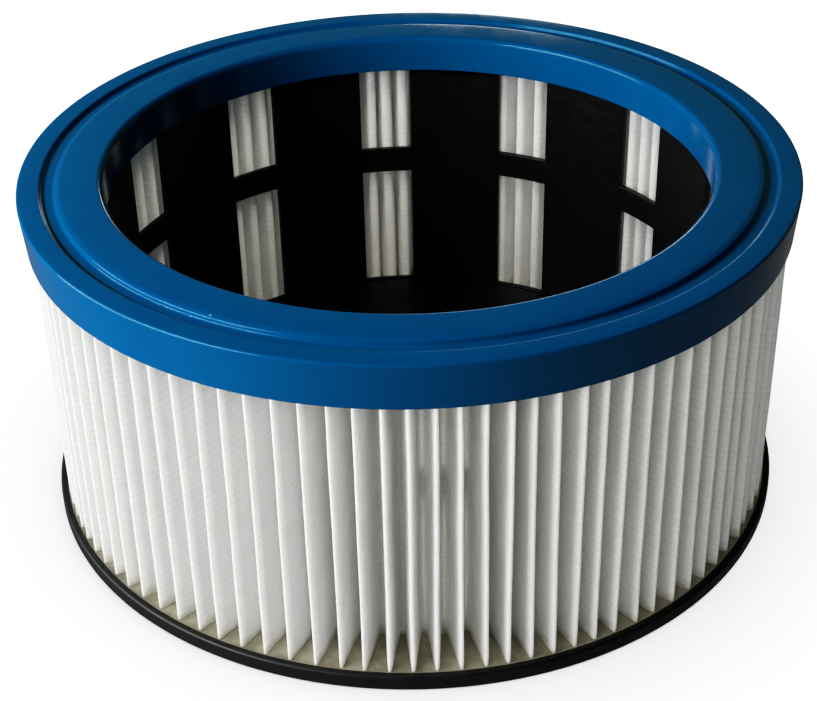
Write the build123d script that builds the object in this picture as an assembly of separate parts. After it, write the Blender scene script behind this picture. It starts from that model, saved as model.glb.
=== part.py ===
from build123d import *
import math
import os

# Round pleated cartridge filter of a canister vacuum cleaner.
# The origin is the centre of the underside, and +Z is the axis, towards the open mouth.
# Sizes are in millimetres and angles in degrees.

# Whole cartridge
height = 85.5
media_outer_dia = 181.2

# Pleated media: one fleece sheet folded back and forth into a closed ring
pleat_count = 102
pleat_depth = 13.3
sheet_thickness = 0.6
nose_width = 1.0
media_clearance = 0.3

# Inner cage: a moulded tube with two rows of windows
cage_wall = 1.5
window_columns = 12
window_width = 14.2
sill_rise = 0.3
lower_window_height = 35.7
bar_height = 7.2

# Base plate: a dish with a low rim and a raised, closed floor
rim_height = 3.7
rim_wall = 1.7
rim_chamfer = 0.6
base_wall = 1.4
floor_height = 7.3
floor_thickness = 1.8
boss_wall = 1.6
boss_draft = 3.0
cage_clearance = 0.2
tip_clearance = 0.2

# Bottom potting: the casting compound in the dish, just under the rim's top
potting_drop = 0.5

# Top ring: soft sealing ring, cast round the upper ends of the cage and the media
ring_height = 11.3
skirt_wall = 0.8
skirt_draft = 4.6
skirt_overlap = 1.2
lining_thickness = 2.9
lining_height = 9.8
cage_cover = 4.8
mouth_chamfer = 1.6
land_width = 10.8
groove_floor_width = 2.6
groove_side_width = 0.7
groove_depth = 1.4
lip_drop = 0.3

# Radii that several pieces share
media_outer_r = media_outer_dia / 2
media_inner_r = media_outer_r - pleat_depth
cage_outer_r = media_inner_r - media_clearance
cage_inner_r = cage_outer_r - cage_wall
rim_inner_r = media_outer_r + tip_clearance
rim_outer_r = rim_inner_r + rim_wall
boss_outer_r = cage_inner_r - cage_clearance

# Heights that several pieces share
potting_top = rim_height - potting_drop
skirt_bottom = height - ring_height
media_top = skirt_bottom + skirt_overlap
lining_bottom = height - lining_height
cage_top = height - cage_cover
lower_sill = floor_height + sill_rise
upper_sill = lower_sill + lower_window_height + bar_height


def turned(outline):
    """Turn a closed outline of (radius, height) corners about the axis."""
    with BuildPart() as piece:
        with BuildSketch(Plane.XZ):
            with BuildLine():
                Polyline(*outline, close=True)
            make_face()
        revolve(axis=Axis.Z)
    return piece.part


def make_top_ring():
    """Sealing ring: a raised inner land, a groove, an outer lip and a drafted skirt."""
    mouth_r = cage_inner_r - lining_thickness
    land_r = mouth_r + land_width
    groove_inner_r = land_r + groove_side_width
    groove_outer_r = groove_inner_r + groove_floor_width
    lip_r = groove_outer_r + groove_side_width
    skirt_inner_r = media_outer_r + tip_clearance
    skirt_bottom_r = skirt_inner_r + skirt_wall
    lip_top = height - lip_drop
    crease_r = skirt_bottom_r + (lip_top - skirt_bottom) * math.tan(math.radians(skirt_draft))
    groove_bottom = height - groove_depth
    outline = [
        (mouth_r, lining_bottom),
        (mouth_r, height - mouth_chamfer),
        (mouth_r + mouth_chamfer, height),
        (land_r, height),
        (groove_inner_r, groove_bottom),
        (groove_outer_r, groove_bottom),
        (lip_r, lip_top),
        (crease_r, lip_top),
        (skirt_bottom_r, skirt_bottom),
        (skirt_inner_r, skirt_bottom),
        (skirt_inner_r, media_top),
        (cage_outer_r, media_top),
        (cage_outer_r, cage_top),
        (cage_inner_r, cage_top),
        (cage_inner_r, lining_bottom),
    ]
    return turned(outline)


def polar(radius, angle, sideways=0.0):
    """Point at a radius and an angle in radians, shifted sideways along the tangent."""
    x = radius * math.cos(angle) - sideways * math.sin(angle)
    y = radius * math.sin(angle) + sideways * math.cos(angle)
    return x, y


def fold_bottoms():
    """Radii of the crease inside an outer nose and of the crease inside an inner nose.

    A panel's outside face starts at a corner of an outer nose and its inside face ends at a
    corner of the next inner nose. The two faces are parallel, one sheet thickness apart.
    """
    half_pitch = math.pi / pleat_count
    outer_corner = (media_outer_r, nose_width / 2)
    inner_corner = polar(media_inner_r, half_pitch, -nose_width / 2)
    run = (inner_corner[0] - outer_corner[0], inner_corner[1] - outer_corner[1])
    slope = math.atan2(run[1], run[0]) - math.asin(sheet_thickness / math.hypot(*run))
    along = (math.cos(slope), math.sin(slope))
    nose_crease_r = inner_corner[0] - inner_corner[1] * along[0] / along[1]
    ray = polar(1.0, half_pitch)
    reach = along[0] * ray[1] - along[1] * ray[0]
    valley_crease_r = (along[0] * outer_corner[1] - along[1] * outer_corner[0]) / reach
    return nose_crease_r, valley_crease_r


def make_pleated_media():
    """Folded sheet: its outside face is one zigzag and its inside face is another."""
    nose_crease_r, valley_crease_r = fold_bottoms()
    pitch = 2 * math.pi / pleat_count
    outside = []
    inside = []
    for pleat in range(pleat_count):
        nose = pleat * pitch - math.pi / 2
        valley = nose + pitch / 2
        outside.append(polar(media_outer_r, nose, -nose_width / 2))
        outside.append(polar(media_outer_r, nose, nose_width / 2))
        outside.append(polar(valley_crease_r, valley))
        inside.append(polar(nose_crease_r, nose))
        inside.append(polar(media_inner_r, valley, -nose_width / 2))
        inside.append(polar(media_inner_r, valley, nose_width / 2))
    section = Face(Wire.make_polygon(outside), [Wire.make_polygon(inside)])
    return Pos(0, 0, potting_top) * extrude(section, amount=media_top - potting_top, dir=(0, 0, 1))


def make_inner_cage():
    """Support tube, pierced by evenly spaced columns of two windows."""
    cut_depth = 4 * cage_wall  # from inside the bore to beyond the curved wall
    with BuildPart() as cage:
        with BuildSketch(Plane.XY.offset(base_wall)):
            Circle(cage_outer_r)
            Circle(cage_inner_r, mode=Mode.SUBTRACT)
        extrude(amount=cage_top - base_wall)
        for sill, lintel in (
            (lower_sill, lower_sill + lower_window_height),
            (upper_sill, lining_bottom),
        ):
            with Locations((0, 0, sill)):
                with PolarLocations(cage_inner_r, window_columns, start_angle=90):
                    Box(
                        cut_depth,
                        window_width,
                        lintel - sill,
                        align=(Align.CENTER, Align.CENTER, Align.MIN),
                        mode=Mode.SUBTRACT,
                    )
    return cage.part


def make_base_plate():
    """Dish with an upturned rim, a channel for the potting and a hollow boss under its floor."""
    recess_top = floor_height - floor_thickness
    recess_top_r = boss_outer_r - boss_wall
    recess_r = recess_top_r + recess_top * math.tan(math.radians(boss_draft))
    outline = [
        (recess_r, 0),
        (rim_outer_r, 0),
        (rim_outer_r, rim_height - rim_chamfer),
        (rim_outer_r - rim_chamfer, rim_height),
        (rim_inner_r, rim_height),
        (rim_inner_r, base_wall),
        (boss_outer_r, base_wall),
        (boss_outer_r, floor_height),
        (0, floor_height),
        (0, recess_top),
        (recess_top_r, recess_top),
    ]
    return turned(outline)


def make_bottom_potting():
    """Cast ring that fills the dish's channel from the cage to the rim."""
    outline = [
        (cage_outer_r, base_wall),
        (rim_inner_r, base_wall),
        (rim_inner_r, potting_top),
        (cage_outer_r, potting_top),
    ]
    return turned(outline)


pieces = {
    "top_ring": make_top_ring(),
    "pleated_media": make_pleated_media(),
    "inner_cage": make_inner_cage(),
    "base_plate": make_base_plate(),
    "bottom_potting": make_bottom_potting(),
}

os.makedirs("parts", exist_ok=True)
for name, piece in pieces.items():
    export_step(piece, f"parts/{name}.step")
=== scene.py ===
import math

import bpy
import numpy as np
from mathutils import Matrix, Vector


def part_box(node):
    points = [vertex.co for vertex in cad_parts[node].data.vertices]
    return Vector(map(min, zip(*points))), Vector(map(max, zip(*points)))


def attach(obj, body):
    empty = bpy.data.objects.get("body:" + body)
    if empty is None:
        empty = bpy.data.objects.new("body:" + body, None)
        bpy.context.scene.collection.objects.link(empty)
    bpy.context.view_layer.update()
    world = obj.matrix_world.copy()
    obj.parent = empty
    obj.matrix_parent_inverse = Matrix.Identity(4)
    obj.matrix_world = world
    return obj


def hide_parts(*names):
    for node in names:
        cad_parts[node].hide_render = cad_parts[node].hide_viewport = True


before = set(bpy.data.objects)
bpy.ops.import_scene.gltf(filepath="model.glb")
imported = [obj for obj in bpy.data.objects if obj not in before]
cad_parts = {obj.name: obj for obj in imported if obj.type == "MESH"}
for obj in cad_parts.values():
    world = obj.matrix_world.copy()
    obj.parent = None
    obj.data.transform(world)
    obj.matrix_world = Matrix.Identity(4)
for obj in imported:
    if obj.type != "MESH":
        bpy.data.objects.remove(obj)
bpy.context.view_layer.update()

# Round pleated cartridge filter: blue sealing ring, folded white fleece, black cage and base.
# Lengths are in metres, written as millimetres times MM, and angles are in degrees.
MM = 0.001

# Places and outer sizes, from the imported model
ring_low, ring_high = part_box("top_ring")
media_low, media_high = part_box("pleated_media")
cage_low, cage_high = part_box("inner_cage")
base_low, base_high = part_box("base_plate")
potting_low, potting_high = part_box("bottom_potting")
media_outer_r = media_high.y
cage_outer_r = cage_high.y
potting_outer_r = potting_high.y

# Sealing ring
mouth_r = 72.6 * MM
mouth_rounding = 1.4 * MM
land_r = 83.6 * MM
land_fall_width = 1.1 * MM
land_fall = 0.26 * MM
land_fall_rounding = 3.0 * MM
land_crown = 0.12 * MM
shoulder_rounding = 0.45 * MM
groove_inner_r = 83.95 * MM
groove_outer_r = 86.85 * MM
groove_z = ring_high.z - 1.4 * MM
groove_rounding = 0.5 * MM
lip_r = 87.2 * MM
lip_z = ring_high.z - 0.3 * MM
lip_crown = 0.08 * MM
crease_rounding = 0.55 * MM
skirt_bottom_r = 91.6 * MM
skirt_inner_r = 90.8 * MM
skirt_edge_rounding = 0.25 * MM
lining_bottom = 75.7 * MM

# Pleated fleece
pleat_count = 102
sheet_thickness = 0.6 * MM
nose_r = 0.42 * MM
inner_fold_r = 1.3 * MM
media_inner_r = 77.3 * MM
nose_drift = ((2, 0.55, -11.0), (4, 1.18, 154.0))
nose_offset = 0.93
nose_jitter = 0.13
valley_jitter = 0.22
nose_setback = 0.45 * MM
lean_limit = 0.22
edge_wander = 0.10 * MM
panel_wander = 0.16 * MM
media_levels = 22
nose_steps = 8
panel_steps = 3

# Cage
cage_inner_r = 75.5 * MM
window_columns = 12
window_width = 14.2 * MM
lower_window = (7.6 * MM, 43.3 * MM)
upper_window = (50.5 * MM, 75.7 * MM)
cage_edge_bevel = 0.22 * MM

# Base
rim_inner_r = 90.8 * MM
rim_height = 3.7 * MM
rim_rounding = 0.7 * MM
rim_inner_rounding = 0.25 * MM
channel_z = 1.4 * MM
boss_r = 75.3 * MM
recess_r = 74.0 * MM
recess_top_r = 73.7 * MM
recess_top = 5.5 * MM

# Potting
meniscus_rise = 0.45 * MM
meniscus_reach = 1.2 * MM
potting_wave = 0.12 * MM

# Camera, at the photograph's place
camera_lens = 73.87
camera_distance = 430.53 * MM
camera_azimuth = -4.6
camera_elevation = 32.58
camera_roll = -1.3
aim_right = -1.06 * MM
aim_height = 29.56 * MM

# Response of the picture
tone_contrast = 1.4
tone_shoulder = 0.4


def rounded(corners, steps=5):
    """Outline through (radius, height, rounding) corners, each rounding an arc of that radius."""
    outline = []
    for place, (r, z, rounding) in enumerate(corners):
        corner = Vector((r, z))
        before = Vector(corners[place - 1][:2]) - corner
        after = Vector(corners[(place + 1) % len(corners)][:2]) - corner
        if rounding == 0:
            outline.append(corner)
            continue
        before.normalize()
        after.normalize()
        half = before.angle(after) / 2
        reach = rounding / math.tan(half)
        centre = corner + (before + after).normalized() * (rounding / math.sin(half))
        start = corner + before * reach - centre
        turn = start.angle_signed(corner + after * reach - centre)
        for step in range(steps + 1):
            arm = start.copy()
            arm.rotate(Matrix.Rotation(-turn * step / steps, 2))
            outline.append(centre + arm)
    return outline


def new_object(name, vertices, faces):
    """Mesh object in the scene, from vertex and face lists."""
    mesh = bpy.data.meshes.new(name)
    mesh.from_pydata([tuple(v) for v in vertices], [], [tuple(f) for f in faces])
    mesh.validate()
    mesh.update()
    piece = bpy.data.objects.new(name, mesh)
    bpy.context.scene.collection.objects.link(piece)
    return piece


def shade(piece, sharp_angle=35.0):
    """Smooth shading that keeps real corners crisp and flat faces flat."""
    piece.data.shade_smooth()
    piece.data.set_sharp_from_angle(angle=math.radians(sharp_angle))
    flatten = piece.modifiers.new("flat_faces", "WEIGHTED_NORMAL")
    flatten.keep_sharp = True


def turned(name, outline, steps):
    """Solid of revolution about the axis; outline points on the axis become one vertex."""
    vertices = []
    rings = []
    for r, z in outline:
        if r < 1e-9:
            rings.append([len(vertices)] * steps)
            vertices.append((0.0, 0.0, z))
            continue
        rings.append(list(range(len(vertices), len(vertices) + steps)))
        for step in range(steps):
            angle = 2 * math.pi * step / steps
            vertices.append((r * math.cos(angle), r * math.sin(angle), z))
    faces = []
    for place, ring in enumerate(rings):
        beyond = rings[(place + 1) % len(rings)]
        for step in range(steps):
            after = (step + 1) % steps
            corners = [ring[step], ring[after], beyond[after], beyond[step]]
            kept = list(dict.fromkeys(corners))
            if len(kept) > 2:
                faces.append(kept)
    piece = new_object(name, vertices, faces)
    shade(piece)
    return piece


def make_seal_ring():
    """Soft cast ring: crowned inner land, groove, outer lip and drafted skirt."""
    land_middle = (mouth_r + mouth_rounding + land_r) / 2
    lip_middle = (lip_r + ring_high.x) / 2
    corners = [
        (mouth_r, lining_bottom, 0.3 * MM),
        (mouth_r, ring_high.z - land_crown, mouth_rounding),
        (land_middle, ring_high.z, 0),
        (land_r - land_fall_width, ring_high.z - land_crown, land_fall_rounding),
        (land_r, ring_high.z - land_crown - land_fall, shoulder_rounding),
        (groove_inner_r, groove_z, groove_rounding),
        (groove_outer_r, groove_z, groove_rounding),
        (lip_r, lip_z - lip_crown, shoulder_rounding),
        (lip_middle, lip_z, 0),
        (ring_high.x, lip_z - lip_crown, crease_rounding),
        (skirt_bottom_r, ring_low.z, skirt_edge_rounding),
        (skirt_inner_r, ring_low.z, 0),
        (skirt_inner_r, media_high.z, 0),
        (cage_outer_r, media_high.z, 0),
        (cage_outer_r, cage_high.z, 0),
        (cage_inner_r, cage_high.z, 0),
        (cage_inner_r, lining_bottom, 0),
    ]
    return turned("seal_ring", rounded(corners), 256)


def smooth_noise(seed, count, height_steps, reach):
    """Repeatable wander for each of count folds along the height, between -1 and 1."""
    rng = np.random.default_rng(seed)
    knots = rng.uniform(-1, 1, (count, reach))
    place = np.linspace(0, reach - 1, height_steps)
    left = np.minimum(place.astype(int), reach - 2)
    share = place - left
    share = share * share * (3 - 2 * share)
    return knots[:, left] * (1 - share) + knots[:, left + 1] * share


def fold_centres(angles, radii):
    """Centres of the rounded folds in plan, from angles in degrees measured from -Y."""
    turn = np.radians(angles)
    return np.stack([radii * np.sin(turn), -radii * np.cos(turn)], -1)


def crossed(point_a, along_a, point_b, along_b):
    """Where two lines in plan meet."""
    cross = along_a[:, 0] * along_b[:, 1] - along_a[:, 1] * along_b[:, 0]
    apart = point_b - point_a
    reach = (apart[:, 0] * along_b[:, 1] - apart[:, 1] * along_b[:, 0]) / cross
    return point_a + along_a * reach[:, None]


def turned_left(vectors):
    return np.stack([-vectors[..., 1], vectors[..., 0]], -1)


def panel_lines(start, end, bends, side):
    """Direction and left normal of the panels that touch the folds at start and end on opposite sides."""
    run = end - start
    length = np.linalg.norm(run, axis=-1, keepdims=True)
    run = run / length
    slant = np.arcsin(np.clip(bends / length, -1, 1)) * side
    along = run * np.cos(slant) + turned_left(run) * np.sin(slant)
    return along, turned_left(along)


def media_section(noses, valleys, belly):
    """Both skins of the folded sheet in plan at one height.

    noses and valleys are the centres of the outer and inner folds in turn. Each pleat is one panel
    in from its nose to the valley after it, and one panel out to the next nose. belly swells each
    panel a little, as folded fleece does. The result lists, for each pleat, nose_steps + 1 points
    round the nose, the panel in, the crease and the panel out for the outside skin, and the same
    from crease to crease for the inside skin.
    """
    bends = nose_r + inner_fold_r - sheet_thickness
    next_nose = np.roll(noses, -1, 0)
    into, into_left = panel_lines(noses, valleys, bends, 1)
    out, out_left = panel_lines(valleys, next_nose, bends, -1)
    before_out = np.roll(out, 1, 0)
    before_left = np.roll(out_left, 1, 0)

    outside_in = noses - into_left * nose_r
    outside_out = next_nose - out_left * nose_r
    inside_in = valleys + into_left * inner_fold_r
    inside_out = valleys + out_left * inner_fold_r
    hollow = inner_fold_r - sheet_thickness
    bend_in = valleys + into_left * hollow
    bend_out = valleys + out_left * hollow
    inward = -valleys / np.linalg.norm(valleys, axis=1, keepdims=True)
    outside_crease = valleys + inward * hollow
    before_inside = noses - before_left * (nose_r - sheet_thickness)
    inside_crease = crossed(inside_in, into, before_inside, before_out)

    def round_fold(centres, radius, first, last, sign):
        start = np.arctan2(first[:, 1], first[:, 0])
        turn = np.arctan2(last[:, 1], last[:, 0]) - start
        turn = np.where(sign * turn < 0, turn + sign * 2 * np.pi, turn)
        share = np.linspace(0, 1, nose_steps + 1)
        angle = start[:, None] + turn[:, None] * share
        arms = np.stack([np.cos(angle), np.sin(angle)], -1)
        return centres[:, None] + arms * radius

    def run_between(first, last, normal, swell, share):
        line = first[:, None] + (last - first)[:, None] * share[None, :, None]
        bulge = np.sin(np.pi * share)[None, :, None] * swell[:, None, None]
        return line + normal[:, None] * bulge

    nose_arc = round_fold(noses, nose_r, -before_left, -into_left, 1)
    valley_arc = round_fold(valleys, inner_fold_r, into_left, out_left, -1)
    next_inside_crease = np.roll(inside_crease, -1, 0)
    share = np.linspace(0, 1, panel_steps + 2)[1:-1]
    to_bend = np.linspace(0, 1, panel_steps + 1)
    outside = np.concatenate([
        nose_arc,
        run_between(outside_in, bend_in, into_left, belly[0], to_bend[1:]),
        outside_crease[:, None],
        run_between(bend_out, outside_out, out_left, belly[1], to_bend[:-1]),
    ], 1)
    inside = np.concatenate([
        inside_crease[:, None],
        run_between(inside_crease, inside_in, into_left, belly[0], share),
        valley_arc,
        run_between(inside_out, next_inside_crease, out_left, belly[1], share),
    ], 1)
    return outside, inside


def make_fleece():
    """One closed fleece sheet, folded into uneven pleats round the cage."""
    rng = np.random.default_rng(11)
    pitch = 360 / pleat_count
    even = np.arange(pleat_count) * pitch
    noses = even + nose_offset + rng.uniform(-nose_jitter, nose_jitter, pleat_count)
    for wave, amount, phase in nose_drift:
        noses = noses + amount * np.sin(np.radians(wave * even + phase))
    following = np.append(noses[1:], noses[0] + 360)
    valleys = (noses + following) / 2 + rng.uniform(-valley_jitter, valley_jitter, pleat_count)
    setback = nose_setback * rng.uniform(0, 1, pleat_count) ** 2
    lean = lean_limit * rng.uniform(-1, 1, pleat_count)

    heights = np.linspace(media_low.z, media_high.z, media_levels)
    upward = np.linspace(-0.5, 0.5, media_levels)
    nose_wander = edge_wander * smooth_noise(21, pleat_count, media_levels, 6)
    side_wander = edge_wander * smooth_noise(22, pleat_count, media_levels, 5)
    belly_in = panel_wander * smooth_noise(23, pleat_count, media_levels, 5)
    belly_out = panel_wander * smooth_noise(24, pleat_count, media_levels, 5)

    outside_skin = []
    inside_skin = []
    for level in range(media_levels):
        sideways = np.degrees(side_wander[:, level] / media_outer_r)
        nose_angles = noses + lean * upward[level] * 2 + sideways
        nose_radii = media_outer_r - nose_r - setback - np.abs(nose_wander[:, level])
        nose_centres = fold_centres(nose_angles, nose_radii)
        valley_radii = np.full(pleat_count, media_inner_r + inner_fold_r)
        valley_centres = fold_centres(valleys + lean * upward[level], valley_radii)
        belly = (belly_in[:, level], belly_out[:, level])
        outside, inside = media_section(nose_centres, valley_centres, belly)
        outside_skin.append(outside.reshape(-1, 2))
        inside_skin.append(inside.reshape(-1, 2))

    around = len(outside_skin[0])
    vertices = []
    for level, height in enumerate(heights):
        for skin in (outside_skin[level], inside_skin[level]):
            vertices.extend((x, y, height) for x, y in skin)
    faces = media_faces(around)
    piece = new_object("pleated_fleece", vertices, faces)
    shade(piece, 60.0)
    middle = (outside_skin[0] + np.roll(outside_skin[0], -1, 0)) / 2
    developed = np.linalg.norm(np.diff(outside_skin[0], axis=0), axis=1).sum()
    return piece, developed


def media_faces(around):
    """Faces of the two skins and of the sheet's cut ends, for rings of around vertices a skin."""
    faces = []
    level_size = 2 * around
    for level in range(media_levels - 1):
        low = level * level_size
        high = low + level_size
        for place in range(around):
            after = (place + 1) % around
            faces.append((low + place, low + after, high + after, high + place))
            inner = around
            faces.append((low + inner + after, low + inner + place, high + inner + place, high + inner + after))
    for level, upward in ((0, False), (media_levels - 1, True)):
        for face in end_faces(around):
            corners = [level * level_size + corner for corner in face]
            faces.append(corners if upward else corners[::-1])
    return faces


def end_faces(around):
    """Faces that close the sheet between its outside and inside skins, seen from above."""
    per_pleat = around // pleat_count
    faces = []
    for pleat in range(pleat_count):
        outside = [(pleat * per_pleat + k) % around for k in range(per_pleat + 1)]
        inside = [around + (pleat * per_pleat + k) % around for k in range(per_pleat + 1)]
        nose = outside[: nose_steps + 1]
        faces.append([*nose, inside[0]])
        into_outside = outside[nose_steps : nose_steps + panel_steps + 2]
        into_inside = inside[: panel_steps + 2]
        for k in range(panel_steps + 1):
            faces.append([into_outside[k], into_outside[k + 1], into_inside[k + 1], into_inside[k]])
        crease = outside[nose_steps + panel_steps + 1]
        fold = inside[panel_steps + 1 : panel_steps + nose_steps + 2]
        faces.append([crease, *fold[::-1]])
        out_outside = outside[nose_steps + panel_steps + 1 :]
        out_inside = inside[panel_steps + nose_steps + 1 :]
        for k in range(panel_steps + 1):
            faces.append([out_outside[k], out_outside[k + 1], out_inside[k + 1], out_inside[k]])
    return faces


def make_cage():
    """Thin moulded tube with two rows of windows, as a grid with cells left out."""
    step = 2 * math.pi / window_columns
    half_outer = math.asin(window_width / 2 / cage_outer_r)
    half_inner = math.asin(window_width / 2 / cage_inner_r)
    between = 8
    across = 4
    outer_angles = []
    inner_angles = []
    is_window = []
    for column in range(window_columns):
        middle = column * step
        for k in range(across):
            share = -1 + 2 * k / across
            outer_angles.append(middle + share * half_outer)
            inner_angles.append(middle + share * half_inner)
            is_window.append(True)
        for k in range(between):
            share = k / between
            outer_angles.append(middle + half_outer + share * (step - 2 * half_outer))
            inner_angles.append(middle + half_inner + share * (step - 2 * half_inner))
            is_window.append(False)
    levels = [cage_low.z, *lower_window, *upper_window, cage_high.z]
    open_rows = (1, 3)
    around = len(outer_angles)
    vertices = []
    for z in levels:
        for radius, angles in ((cage_outer_r, outer_angles), (cage_inner_r, inner_angles)):
            vertices.extend((radius * math.cos(a), radius * math.sin(a), z) for a in angles)

    def corner(level, place, inner):
        return level * 2 * around + inner * around + place % around

    def is_open(row, place):
        inside_rows = 0 <= row < len(levels) - 1
        return not inside_rows or (row in open_rows and is_window[place % around])

    faces = []
    for row in range(len(levels) - 1):
        for place in range(around):
            if is_open(row, place):
                continue
            low_out, low_in = corner(row, place, 0), corner(row, place, 1)
            low_out_b, low_in_b = corner(row, place + 1, 0), corner(row, place + 1, 1)
            high_out, high_in = corner(row + 1, place, 0), corner(row + 1, place, 1)
            high_out_b, high_in_b = corner(row + 1, place + 1, 0), corner(row + 1, place + 1, 1)
            faces.append((low_out, low_out_b, high_out_b, high_out))
            faces.append((low_in_b, low_in, high_in, high_in_b))
            if is_open(row, place - 1):
                faces.append((low_out, high_out, high_in, low_in))
            if is_open(row, place + 1):
                faces.append((low_out_b, low_in_b, high_in_b, high_out_b))
            if is_open(row - 1, place):
                faces.append((low_out, low_in, low_in_b, low_out_b))
            if is_open(row + 1, place):
                faces.append((high_out, high_out_b, high_in_b, high_in))
    piece = new_object("window_cage", vertices, faces)
    piece.data.shade_smooth()
    bevel = piece.modifiers.new("moulded_edges", "BEVEL")
    bevel.width = cage_edge_bevel
    bevel.segments = 3
    bevel.limit_method = "ANGLE"
    bevel.angle_limit = math.radians(40)
    flatten = piece.modifiers.new("flat_faces", "WEIGHTED_NORMAL")
    flatten.keep_sharp = True
    return piece


def make_base():
    """Closed dish with an upturned rim, a potting channel and a raised floor."""
    corners = [
        (recess_r, 0.0, 0.3 * MM),
        (base_high.x, 0.0, 0.5 * MM),
        (base_high.x, rim_height, rim_rounding),
        (rim_inner_r, rim_height, rim_inner_rounding),
        (rim_inner_r, channel_z, 0),
        (boss_r, channel_z, 0),
        (boss_r, base_high.z, 0.4 * MM),
        (0.0, base_high.z, 0),
        (0.0, recess_top, 0),
        (recess_top_r, recess_top, 0.5 * MM),
    ]
    return turned("closed_base", rounded(corners), 256)


def make_potting():
    """Cast compound in the base's channel, uneven on top and drawn up at the rim and the cage."""
    rng = np.random.default_rng(31)
    steps = 384
    span = potting_outer_r - cage_outer_r
    stations = 14
    waves = [(int(k), rng.uniform(0, 2 * math.pi)) for k in (3, 5, 11, 17, 29, 41)]
    vertices = []
    for step in range(steps):
        angle = 2 * math.pi * step / steps
        swell = sum(math.sin(k * angle + phase) for k, phase in waves) / len(waves)
        for station in range(stations):
            r = cage_outer_r + span * station / (stations - 1)
            near = min(r - cage_outer_r, potting_outer_r - r)
            rise = meniscus_rise * math.exp(-near / meniscus_reach * 2)
            z = potting_high.z + potting_wave * swell + rise
            vertices.append((r * math.cos(angle), r * math.sin(angle), z))
        for r in (potting_outer_r, cage_outer_r):
            vertices.append((r * math.cos(angle), r * math.sin(angle), potting_low.z))
    column = stations + 2
    faces = []
    for step in range(steps):
        here = step * column
        there = (step + 1) % steps * column
        for k in range(column):
            after = (k + 1) % column
            faces.append((here + k, here + after, there + after, there + k))
    piece = new_object("cast_potting", vertices, faces)
    shade(piece, 50.0)
    return piece


class Graph:
    """Short way to write a node material: nodes by type, with links and values given as inputs."""

    def __init__(self, name):
        self.material = bpy.data.materials.new(name)
        self.material.use_nodes = True
        self.tree = self.material.node_tree
        self.tree.nodes.clear()

    def node(self, kind, inputs=None, **settings):
        made = self.tree.nodes.new("ShaderNode" + kind)
        for key, value in settings.items():
            setattr(made, key, value)
        for key, value in (inputs or {}).items():
            socket = made.inputs[key]
            if isinstance(value, bpy.types.NodeSocket):
                self.tree.links.new(value, socket)
            else:
                socket.default_value = value
        return made

    def place(self):
        return self.node("TexCoord").outputs["Object"]

    def stretched(self, vector, scale):
        return self.node("Mapping", {"Vector": vector, "Scale": scale}).outputs["Vector"]

    def noise(self, vector, scale, detail=4.0, roughness=0.55):
        made = self.node("TexNoise", {"Vector": vector, "Scale": scale, "Detail": detail, "Roughness": roughness})
        return made.outputs["Fac"]

    def math(self, operation, a, b=0.0, c=0.0):
        return self.node("Math", {0: a, 1: b, 2: c}, operation=operation).outputs[0]

    def between(self, value, low, high, to_low=0.0, to_high=1.0):
        inputs = {"Value": value, "From Min": low, "From Max": high, "To Min": to_low, "To Max": to_high}
        return self.node("MapRange", inputs, interpolation_type="SMOOTHSTEP").outputs["Result"]

    def mix(self, share, a, b):
        made = self.node("Mix", data_type="RGBA")
        for socket, value in ((made.inputs[0], share), (made.inputs[6], a), (made.inputs[7], b)):
            if isinstance(value, bpy.types.NodeSocket):
                self.tree.links.new(value, socket)
            else:
                socket.default_value = value
        return made.outputs[2]

    def bump(self, height, strength, distance, normal=None):
        inputs = {"Height": height, "Strength": strength, "Distance": distance}
        if normal is not None:
            inputs["Normal"] = normal
        return self.node("Bump", inputs).outputs["Normal"]

    def surface(self, inputs):
        shader = self.node("BsdfPrincipled", inputs)
        self.node("OutputMaterial", {"Surface": shader.outputs["BSDF"]})
        return self.material


def colour(red, green, blue):
    return (red, green, blue, 1.0)


def seal_material():
    """Cast blue polyurethane: soft gloss, faint clouds, a few pale flecks."""
    g = Graph("seal_blue")
    place = g.place()
    clouds = g.noise(place, 55.0, 3.0)
    grain = g.noise(place, 1400.0, 3.0)
    tone = g.mix(clouds, colour(0.0, 0.057, 0.158), colour(0.0, 0.074, 0.194))
    fleck_cells = g.node("TexVoronoi", {"Vector": place, "Scale": 150.0})
    fleck_near = g.between(fleck_cells.outputs["Distance"], 0.03, 0.055, 1.0, 0.0)
    fleck_few = g.math("GREATER_THAN", g.node("SeparateColor", {0: fleck_cells.outputs["Color"]}).outputs[0], 0.93)
    flecks = g.math("MULTIPLY", fleck_near, fleck_few)
    tone = g.mix(flecks, tone, colour(0.10, 0.22, 0.32))
    rough = g.between(g.noise(place, 130.0, 4.0), 0.3, 0.7, 0.11, 0.18)
    skin = g.bump(grain, 0.10, 0.02 * MM)
    skin = g.bump(clouds, 0.25, 0.25 * MM, skin)
    return g.surface({
        "Base Color": tone, "Roughness": rough, "Specular IOR Level": 0.22,
        "Specular Tint": colour(0.3, 0.8, 1.0), "Normal": skin,
    })


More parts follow.
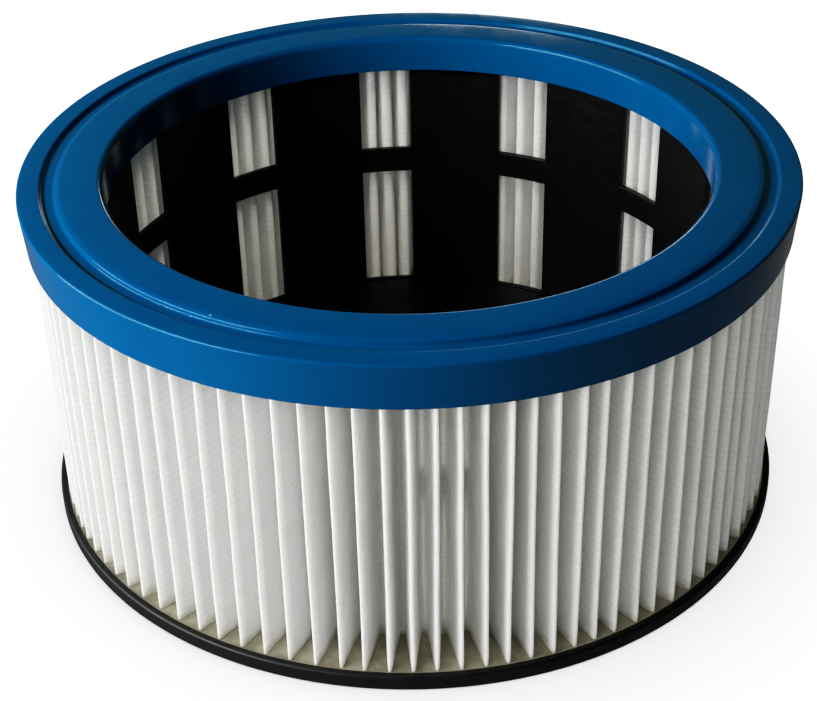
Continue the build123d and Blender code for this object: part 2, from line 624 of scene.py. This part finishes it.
def fleece_material():
    """Bonded polyester fleece: matt, fibrous, embossed across the sheet with painted shade along the emboss lines,
    stained where it is cast in.
    """
    g = Graph("fleece_white")
    place = g.place()
    height = g.node("SeparateXYZ", {0: place}).outputs["Z"]
    fibres = g.noise(g.stretched(place, (1.0, 1.0, 0.35)), 1500.0, 5.0, 0.65)
    clouds = g.noise(place, 120.0, 4.0)
    line_pitch = 1.8 * MM
    wavy = g.math("ADD", height, g.math("MULTIPLY", g.noise(place, 60.0, 2.0), 0.3 * MM))
    emboss_relief_and_shade = g.math("SINE", g.math("MULTIPLY", wavy, 2 * math.pi / line_pitch))
    tone = g.mix(g.between(clouds, 0.3, 0.7), colour(0.89, 0.895, 0.88), colour(0.95, 0.955, 0.94))
    tone = g.mix(g.between(fibres, 0.45, 0.75, 0.0, 0.35), tone, colour(0.80, 0.805, 0.79))
    # Painted shade: the emboss lines are darkened in the colour, standing in for the shade in their shallow
    # grooves.
    tone = g.mix(g.between(emboss_relief_and_shade, -1.0, 1.0, 0.0, 0.20), tone, colour(0.70, 0.705, 0.69))
    ragged = g.math("ADD", height, g.math("MULTIPLY", g.noise(place, 260.0, 3.0), -5.0 * MM))
    stain = g.between(ragged, 1.2 * MM, 3.6 * MM, 0.6, 0.0)
    tone = g.mix(stain, tone, colour(0.50, 0.46, 0.36))
    skin = g.bump(fibres, 0.35, 0.06 * MM)
    skin = g.bump(emboss_relief_and_shade, 0.3, 0.05 * MM, skin)
    return g.surface({
        "Base Color": tone,
        "Roughness": 0.9,
        "Specular IOR Level": 0.2,
        "Subsurface Weight": 1.0,
        "Subsurface Radius": (1.0, 0.95, 0.85),
        "Subsurface Scale": 2.5 * MM,
        "Normal": skin,
    })


def black_material(name, tone, rough_low, rough_high):
    """Moulded black plastic with a fine grain and faint flow marks."""
    g = Graph(name)
    place = g.place()
    clouds = g.noise(place, 70.0, 4.0)
    grain = g.noise(place, 2200.0, 2.0)
    tint = g.mix(clouds, colour(tone, tone, tone * 1.05), colour(tone * 1.8, tone * 1.8, tone * 1.9))
    rough = g.between(g.noise(g.stretched(place, (1.0, 1.0, 3.0)), 160.0), 0.3, 0.7, rough_low, rough_high)
    skin = g.bump(grain, 0.12, 0.02 * MM)
    skin = g.bump(clouds, 0.15, 0.15 * MM, skin)
    return g.surface({"Base Color": tint, "Roughness": rough, "Specular IOR Level": 0.22, "Normal": skin})


def potting_material():
    """Cast compound: dull cream with darker drifts and small pits."""
    g = Graph("potting_cream")
    place = g.place()
    clouds = g.noise(place, 180.0, 4.0)
    pits = g.noise(place, 900.0, 3.0)
    tone = g.mix(g.between(clouds, 0.35, 0.65), colour(0.26, 0.245, 0.18), colour(0.39, 0.375, 0.295))
    rough = g.between(pits, 0.3, 0.7, 0.45, 0.65)
    skin = g.bump(pits, 0.3, 0.08 * MM)
    return g.surface({"Base Color": tone, "Roughness": rough, "Normal": skin})


def floor_material():
    """Plain pale floor with a trace of unevenness."""
    g = Graph("floor_pale")
    tone = g.mix(g.noise(g.place(), 6.0, 2.0), colour(0.86, 0.86, 0.86), colour(0.90, 0.90, 0.90))
    return g.surface({"Base Color": tone, "Roughness": 0.7, "Specular IOR Level": 0.2})


def dress(piece, material, node):
    """Give a piece its material, and let it stand for its CAD node on the one body."""
    piece.data.materials.append(material)
    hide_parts(node)
    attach(piece, "root")


def view_axes():
    """The camera's right, up and back directions."""
    a, e, roll = (math.radians(v) for v in (camera_azimuth, camera_elevation, camera_roll))
    back = Vector((math.sin(a) * math.cos(e), -math.cos(a) * math.cos(e), math.sin(e)))
    right = Vector((math.cos(a), math.sin(a), 0.0))
    up = back.cross(right)
    level_right = right
    right, up = (
        right * math.cos(roll) + up * math.sin(roll),
        up * math.cos(roll) - right * math.sin(roll),
    )
    return right, up, back, level_right


def make_camera():
    right, up, back, level_right = view_axes()
    aim = level_right * aim_right + Vector((0.0, 0.0, aim_height))
    camera = bpy.data.objects.new("camera", bpy.data.cameras.new("camera"))
    camera.data.lens = camera_lens
    camera.data.sensor_width = 36.0
    camera.data.clip_start = 0.01
    axes = Matrix((right, up, back)).transposed().to_4x4()
    camera.matrix_world = Matrix.Translation(aim + back * camera_distance) @ axes
    bpy.context.scene.collection.objects.link(camera)
    bpy.context.scene.camera = camera


def make_floor():
    half = 4.0
    corners = [(-half, -half, 0.0), (half, -half, 0.0), (half, half, 0.0), (-half, half, 0.0)]
    floor = new_object("floor", corners, [(0, 1, 2, 3)])
    floor.data.materials.append(floor_material())
    floor.visible_glossy = False
    floor.visible_diffuse = False
    return floor


def add_light(name, azimuth, elevation, distance, width, height, power, tint=(1.0, 1.0, 1.0)):
    """Soft light that faces the filter; azimuth 0 is the camera's side and 90 its right."""
    a = math.radians(azimuth + camera_azimuth)
    e = math.radians(elevation)
    away = Vector((math.sin(a) * math.cos(e), -math.cos(a) * math.cos(e), math.sin(e)))
    light = bpy.data.objects.new(name, bpy.data.lights.new(name, "AREA"))
    light.data.shape = "RECTANGLE"
    light.data.size = width
    light.data.size_y = height
    light.data.energy = power
    light.data.color = tint
    light.location = away * distance + Vector((0.0, 0.0, aim_height))
    light.rotation_mode = "QUATERNION"
    light.rotation_quaternion = (-away).to_track_quat("-Z", "Y")
    bpy.context.scene.collection.objects.link(light)
    return light


def light_only(light, receivers):
    """Let a light reach only the given objects."""
    reached = bpy.data.collections.new(light.name + "_receivers")
    for receiver in receivers:
        reached.objects.link(receiver)
    light.light_linking.receiver_collection = reached


def make_lights(floor, pale_pieces, dark_pieces):
    """A near window at the left, a bright strip for the gloss, fills for the pale pieces, a floor wash."""
    window = add_light("window", -74.0, 19.0, 0.6, 0.64, 0.40, 5.1)
    light_only(window, dark_pieces)
    pale_window = add_light("pale_window", -61.0, 20.0, 0.6, 0.6, 0.4, 3.2)
    light_only(pale_window, pale_pieces)
    strip = add_light("strip", -61.0, 35.0, 0.6, 0.36, 0.05, 2.2)
    light_only(strip, dark_pieces)
    glint = add_light("glint", 176.0, 14.0, 1.2, 0.15, 0.15, 0.30)
    light_only(glint, dark_pieces)
    front_fill = add_light("front_fill", -14.0, 26.0, 1.0, 0.8, 0.6, 2.6, (1.0, 0.96, 0.88))
    light_only(front_fill, pale_pieces)
    mouth_fill = add_light("mouth_fill", 0.0, 88.0, 0.24, 0.10, 0.10, 0.40, (1.0, 0.94, 0.80))
    light_only(mouth_fill, pale_pieces)
    back_fill = add_light("back_fill", 168.0, 30.0, 1.1, 0.9, 0.6, 2.4, (1.0, 0.88, 0.89))
    light_only(back_fill, pale_pieces)
    wash = add_light("floor_wash", 0.0, 89.0, 1.6, 1.6, 1.6, 4.2)
    wash.data.type = "SUN"
    wash.data.angle = math.radians(100.0)
    light_only(wash, [floor])


def make_world():
    """Dim room: a pale band up to a third of the way up, darker above, pale ground towards the back."""
    world = bpy.data.worlds.new("studio")
    bpy.context.scene.world = world
    world.use_nodes = True
    tree = world.node_tree

    def spread(value, low, high, to_low, to_high):
        made = tree.nodes.new("ShaderNodeMapRange")
        made.interpolation_type = "SMOOTHSTEP"
        tree.links.new(value, made.inputs["Value"])
        for key, number in (("From Min", low), ("From Max", high), ("To Min", to_low), ("To Max", to_high)):
            made.inputs[key].default_value = number
        return made.outputs["Result"]

    direction = tree.nodes.new("ShaderNodeTexCoord")
    split = tree.nodes.new("ShaderNodeSeparateXYZ")
    tree.links.new(direction.outputs["Generated"], split.inputs[0])
    behind = spread(split.outputs["Y"], -0.2, 0.5, 0.02, 0.18)
    low_down = spread(split.outputs["Z"], 0.45, 0.60, 1.0, 0.2)
    walls_node = tree.nodes.new("ShaderNodeMath")
    walls_node.operation = "MULTIPLY"
    tree.links.new(behind, walls_node.inputs[0])
    tree.links.new(low_down, walls_node.inputs[1])
    walls = walls_node.outputs[0]
    ground = spread(split.outputs["Y"], -0.6, 0.3, 0.30, 0.11)
    is_up = spread(split.outputs["Z"], -0.03, 0.03, 0.0, 1.0)
    room = tree.nodes.new("ShaderNodeMix")
    tree.links.new(is_up, room.inputs[0])
    tree.links.new(ground, room.inputs[2])
    tree.links.new(walls, room.inputs[3])
    tree.links.new(room.outputs[0], tree.nodes["Background"].inputs["Strength"])
    tint = tree.nodes.new("ShaderNodeMix")
    tint.data_type = "RGBA"
    tint.inputs[6].default_value = colour(1.0, 0.98, 0.94)
    tint.inputs[7].default_value = colour(0.40, 1.0, 0.92)
    tree.links.new(is_up, tint.inputs[0])
    tree.links.new(tint.outputs[2], tree.nodes["Background"].inputs["Color"])


def set_tone():
    """Response of the picture: deep blacks, lifted middle tones and soft highlights."""
    view = bpy.context.scene.view_settings
    view.view_transform = "Standard"
    view.use_curve_mapping = True
    curve = view.curve_mapping.curves[3]
    for place in (0.005, 0.01, 0.02, 0.04, 0.08, 0.15, 0.25, 0.4, 0.6, 0.8):
        lifted = place**tone_contrast
        curve.points.new(place, (1 + tone_shoulder) * lifted / (lifted + tone_shoulder))
    view.curve_mapping.update()


fleece, developed_length = make_fleece()
potting = make_potting()
ring = make_seal_ring()
cage = make_cage()
base = make_base()
dress(ring, seal_material(), "top_ring")
dress(fleece, fleece_material(), "pleated_media")
dress(cage, black_material("cage_black", 0.004, 0.28, 0.42), "inner_cage")
dress(base, black_material("base_black", 0.006, 0.40, 0.55), "base_plate")
dress(potting, potting_material(), "bottom_potting")

make_camera()
make_lights(make_floor(), [fleece, potting], [ring, cage, base])
make_world()
set_tone()
